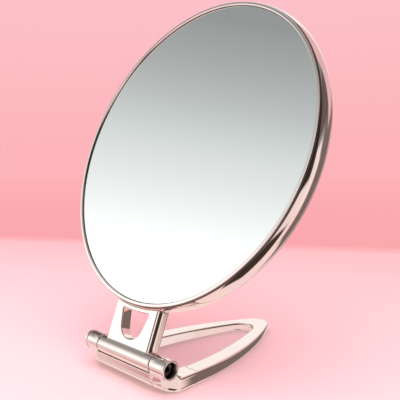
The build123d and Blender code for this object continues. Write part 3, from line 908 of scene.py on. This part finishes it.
def table_material():
    """Pale table that deepens to rose at the back, its own tone with painted fall-off of light, and runs
    into a rose backdrop.
    """
    made, tree, shader = principled("floor", Roughness=0.8)
    place = node(tree, "ShaderNodeTexCoord").outputs["Object"]
    depth = table_depth(tree, place, TABLE_SKEW)
    tint = table_depth(tree, place, TINT_SKEW)
    # painted shade: the base colour deepens towards the back right, where the light falls off
    near = blended(tree, remap(tree, tint, -0.12, 0.22, 0.0, 1.0), TABLE_NEAR, TABLE_FAR_ROSE_AND_SHADE)
    tree.links.new(near, shader.inputs["Base Color"])
    farther = remap(tree, depth, TABLE_DEPTH, 1.4, 0.0, 1.0)
    glow = node(tree, "ShaderNodeEmission", {"Color": blended(tree, farther, BACKDROP_LOW, BACKDROP_MID)})
    beyond = remap(tree, depth, TABLE_DEPTH - 0.02, TABLE_DEPTH + 0.015, 0.0, 1.0)
    mix = node(tree, "ShaderNodeMixShader", {0: beyond, 1: shader.outputs[0], 2: glow.outputs[0]})
    tree.links.new(mix.outputs[0], tree.nodes["Material Output"].inputs["Surface"])
    return made


def build_stage():
    """The table. The plating and the glass reflect the studio's cards in its place."""
    corners = [(-TABLE_HALF, -TABLE_HALF, 0), (TABLE_HALF, -TABLE_HALF, 0),
               (TABLE_HALF, TABLE_HALF, 0), (-TABLE_HALF, TABLE_HALF, 0)]
    mesh = bpy.data.meshes.new("floor")
    mesh.from_pydata(corners, [], [(0, 1, 2, 3)])
    mesh.materials.append(table_material())
    floor = bpy.data.objects.new("floor", mesh)
    bpy.context.scene.collection.objects.link(floor)
    floor.visible_glossy = False


# ---------------------------------------------------------------- light
AMBIENT = (1.1, 0.45, 0.51)  # on the table and other matt surfaces

# What the plating and the glass reflect. The sky's colour goes by the angle towards SKY_FALL: each
# entry is an angle in degrees, its red, and its green, which blue shares. SKY_GAIN brings them
# under 1 for the colour ramp.
SKY_FALL = (0.1095, 0.613, 0.783)
SKY_GAIN = 1.5
SKY_REACH = 15.0
SKY = ((-14, 1.35, 1.35), (-6.5, 0.97, 0.975), (0, 0.76, 0.79), (5.4, 0.54, 0.565),
       (12.5, 0.315, 0.325))
TABLE_REFLECTED = (0.98, 0.777, 0.768)

# Cards and flags round the mirror: azimuths from +X towards +Y, elevations, colour. Each one lies
# over those before it.
CARDS = (
    ((-120, -60), (25, 70), (0.45, 0.44, 0.44)),  # grey flag, high in front
    ((-92, -60), (2, 48), (1.0, 1.0, 1.0)),  # white card, front right
    ((-124, -92), (2, 27), (0.20, 0.15, 0.14)),  # dark flag, front left
    ((-165, -135), (-20, -8), (0.80, 0.67, 0.677)),  # darker patch of table, front left
    ((-150, -15), (-36, -22), (0.61, 0.29, 0.335)),  # painted reflection of the table's shadow, in front
    ((40, 100), (-46, 45), (0.20, 0.155, 0.145)),  # dark flag, behind on the right
    ((60, 105), (8, 72), (0.80, 0.52, 0.54)),  # rose card, behind
    ((105, 172), (8, 72), (1.04, 1.03, 1.03)),  # white card, behind on the left
    ((118, 145), (1, 9), (0.16, 0.11, 0.11)),  # dark strip under the white card
    ((146, 177), (10, 46), (0.15, 0.105, 0.10)),  # dark flag at the white card's left end
    ((12, 34), (-26, 12), (0.95, 0.863, 0.88)),  # pale card, right
    ((-2, 60), (18, 46), (0.147, 0.107, 0.104)),  # dark flag above the pale card
    ((-64, 12), (-75, 46), (0.047, 0.036, 0.027)),  # black flag, front right, from low to high
    ((-70, 14), (-34, -6), (0.93, 0.80, 0.79)),  # pale strip of table across the black flag
)
CARD_SOFTNESS = 3.0  # degrees each side of a card's edge


def card(tree, under, azimuth, elevation, azimuths, elevations, colour):
    """Lay a soft-edged card over the studio colours, between angles given in degrees."""
    share = 1.0
    for angle, (low, high) in ((azimuth, azimuths), (elevation, elevations)):
        for edge, start, end in ((low, 0.0, 1.0), (high, 1.0, 0.0)):
            limits = {"Value": angle, "From Min": edge - CARD_SOFTNESS, "From Max": edge + CARD_SOFTNESS,
                      "To Min": start, "To Max": end}
            step = node(tree, "ShaderNodeMapRange", limits, interpolation_type="SMOOTHSTEP")
            share = maths(tree, "MULTIPLY", share, step.outputs[0])
    return blended(tree, share, under, colour)


def sky(tree, direction):
    """Grey sky, brighter low in front and darker towards SKY_FALL."""
    toward = vectors(tree, "DOT_PRODUCT", direction, SKY_FALL).outputs["Value"]
    fall = maths(tree, "DEGREES", maths(tree, "ARCSINE", toward))
    ramp = node(tree, "ShaderNodeValToRGB", {"Fac": remap(tree, fall, -SKY_REACH, SKY_REACH, 0.0, 1.0)})
    ramp.color_ramp.interpolation = "B_SPLINE"
    elements = ramp.color_ramp.elements
    while len(elements) < len(SKY):
        elements.new(0.5)
    for element, (angle, red, green) in zip(elements, SKY):
        element.position = (angle + SKY_REACH) / (2 * SKY_REACH)
        element.color = (red / SKY_GAIN, green / SKY_GAIN, green / SKY_GAIN, 1)
    scaled = {0: ramp.outputs["Color"], "Scale": SKY_GAIN}
    return node(tree, "ShaderNodeVectorMath", scaled, operation="SCALE").outputs["Vector"]


def studio(tree, direction):
    """Colours that the plating and the glass reflect: cards and flags round a pale table."""
    x, y, z = node(tree, "ShaderNodeSeparateXYZ", {0: direction}).outputs
    azimuth = maths(tree, "DEGREES", maths(tree, "ARCTAN2", y, x))
    elevation = maths(tree, "DEGREES", maths(tree, "ARCSINE", z))
    above = remap(tree, elevation, -1.5, 1.5, 0.0, 1.0)
    colour = blended(tree, above, TABLE_REFLECTED, sky(tree, direction))
    for azimuths, elevations, shade in CARDS:
        colour = card(tree, colour, azimuth, elevation, azimuths, elevations, shade)
    return colour


def build_world():
    """Studio cards for reflections, a rose backdrop in view and a soft ambient light."""
    world = bpy.data.worlds.new("studio")
    bpy.context.scene.world = world
    world.use_nodes = True
    tree = world.node_tree
    direction = node(tree, "ShaderNodeTexCoord").outputs["Generated"]
    height = node(tree, "ShaderNodeSeparateXYZ", {0: direction}).outputs["Z"]
    backdrop = blended(tree, remap(tree, height, 0.0, 0.22, 0.0, 1.0), BACKDROP_MID, BACKDROP_HIGH)
    rays = node(tree, "ShaderNodeLightPath")
    colour = blended(tree, rays.outputs["Is Glossy Ray"], AMBIENT, studio(tree, direction))
    colour = blended(tree, rays.outputs["Is Camera Ray"], colour, backdrop)
    tree.links.new(colour, tree.nodes["Background"].inputs["Color"])


def build_lights():
    """One large soft box overhead, which the plating doesn't reflect."""
    lamp = bpy.data.lights.new("soft_box", "AREA")
    lamp.shape, lamp.size, lamp.energy = "DISK", 1.2, 6.0
    lamp.color = (1, 0.97, 0.95)
    soft_box = bpy.data.objects.new("soft_box", lamp)
    soft_box.location = (0.3, -0.2, 0.85)
    soft_box.visible_glossy = False
    bpy.context.scene.collection.objects.link(soft_box)


build_head()
build_handle()
build_hinge()
build_foams()
finish_hidden()
build_camera()
build_stage()
build_world()
build_lights()
bpy.context.scene.view_settings.view_transform = "Standard"
